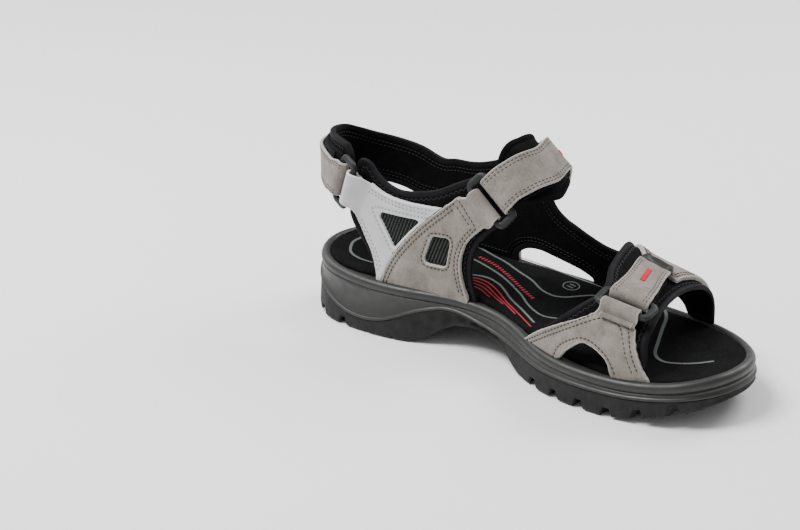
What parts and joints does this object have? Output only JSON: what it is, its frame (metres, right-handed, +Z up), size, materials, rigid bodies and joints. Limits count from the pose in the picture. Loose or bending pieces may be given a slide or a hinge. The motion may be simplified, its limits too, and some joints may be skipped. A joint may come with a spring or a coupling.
{
  "type": "strappy sport sandal",
  "caption": "Open sport sandal for a left foot: hook-and-loop straps at heel, instep and forefoot pass through moulded rings; padded black lining, foam midsole and lugged outsole.",
  "frame": {"origin": "on the ground, under the middle of the sole", "axes": "+X to the toes, +Y to the outer side of this left sandal, +Z up"},
  "size_m": [0.2651, 0.096, 0.1066],
  "materials": {
    "nubuck_grey": "matt nubuck, warm grey",
    "leather_light": "smooth light grey leather",
    "lining": "matt black stretch lining",
    "mesh": "ribbed black-green mesh",
    "loop_tape": "woven loop tape",
    "hook_tape": "moulded hook tape",
    "ring_plastic": "satin moulded plastic",
    "tab_plastic": "satin moulded plastic",
    "mark_red": "flat printed red",
    "midsole_foam": "satin moulded polyurethane",
    "outsole_rubber": "matt moulded rubber",
    "footbed_cover": "brushed black microfibre",
    "footbed_foam": "moulded foam",
    "board": "pressed fibre board",
    "shank_plate": "glass-filled nylon"
  },
  "bodies": {
    "sandal": {"outsole": "outsole_rubber", "midsole": "midsole_foam", "shank": "shank_plate", "insole_board": "board", "footbed": "footbed_foam", "footbed_cover": "footbed_cover", "quarter_medial": "nubuck_grey", "quarter_lateral": "nubuck_grey", "heel_panel_medial": "leather_light", "heel_panel_lateral": "leather_light", "mesh_medial": "mesh", "mesh_lateral": "mesh", "lining_medial": "lining", "lining_lateral": "lining", "heel_collar": "lining", "instep_pad": "lining", "vamp_lining": "lining", "vamp_medial": "nubuck_grey", "vamp_lateral": "nubuck_grey", "heel_strap_under": "lining", "heel_loop_patch": "loop_tape", "instep_strap_under": "lining", "instep_loop_patch": "loop_tape", "forefoot_strap_under": "lining", "forefoot_loop_patch": "loop_tape"},
    "heel_ring_body": {"heel_ring": "ring_plastic"},
    "heel_flap_body": {"heel_flap": "nubuck_grey", "heel_hook_patch": "hook_tape", "heel_pull_tab": "tab_plastic", "heel_mark": "mark_red"},
    "instep_ring_body": {"instep_ring": "ring_plastic"},
    "instep_flap_body": {"instep_flap": "nubuck_grey", "instep_hook_patch": "hook_tape", "instep_pull_tab": "tab_plastic", "instep_mark": "mark_red"},
    "forefoot_ring_body": {"forefoot_ring": "ring_plastic"},
    "forefoot_flap_body": {"forefoot_flap": "nubuck_grey", "forefoot_hook_patch": "hook_tape", "forefoot_pull_tab": "tab_plastic", "forefoot_mark": "mark_red"}
  },
  "joints": [
    {"name": "heel_ring_hinge", "type": "hinge", "parent": "sandal", "child": "heel_ring_body", "pos_m": [-0.08888, -0.03668, 0.07493], "axis": [0.401, -0.0868, 0.912], "range_deg": [0, 20]},
    {"name": "heel_flap_hinge", "type": "hinge", "parent": "heel_ring_body", "child": "heel_flap_body", "pos_m": [-0.09738, -0.03459, 0.07887], "axis": [0.401, -0.0868, 0.912], "range_deg": [0, 110]},
    {"name": "instep_ring_hinge", "type": "hinge", "parent": "sandal", "child": "instep_ring_body", "pos_m": [-0.00646, -0.02774, 0.07923], "axis": [0.7936, -0.035, -0.6075], "range_deg": [0, 20]},
    {"name": "instep_flap_hinge", "type": "hinge", "parent": "instep_ring_body", "child": "instep_flap_body", "pos_m": [-0.00111, -0.02352, 0.08599], "axis": [0.7936, -0.035, -0.6075], "range_deg": [0, 110]},
    {"name": "forefoot_ring_hinge", "type": "hinge", "parent": "sandal", "child": "forefoot_ring_body", "pos_m": [0.07985, -0.03315, 0.04901], "axis": [0.9798, 0.1089, -0.1678], "range_deg": [0, 20]},
    {"name": "forefoot_flap_hinge", "type": "hinge", "parent": "forefoot_ring_body", "child": "forefoot_flap_body", "pos_m": [0.07925, -0.0239, 0.05152], "axis": [0.9798, 0.1089, -0.1678], "range_deg": [0, 110]}
  ]
}
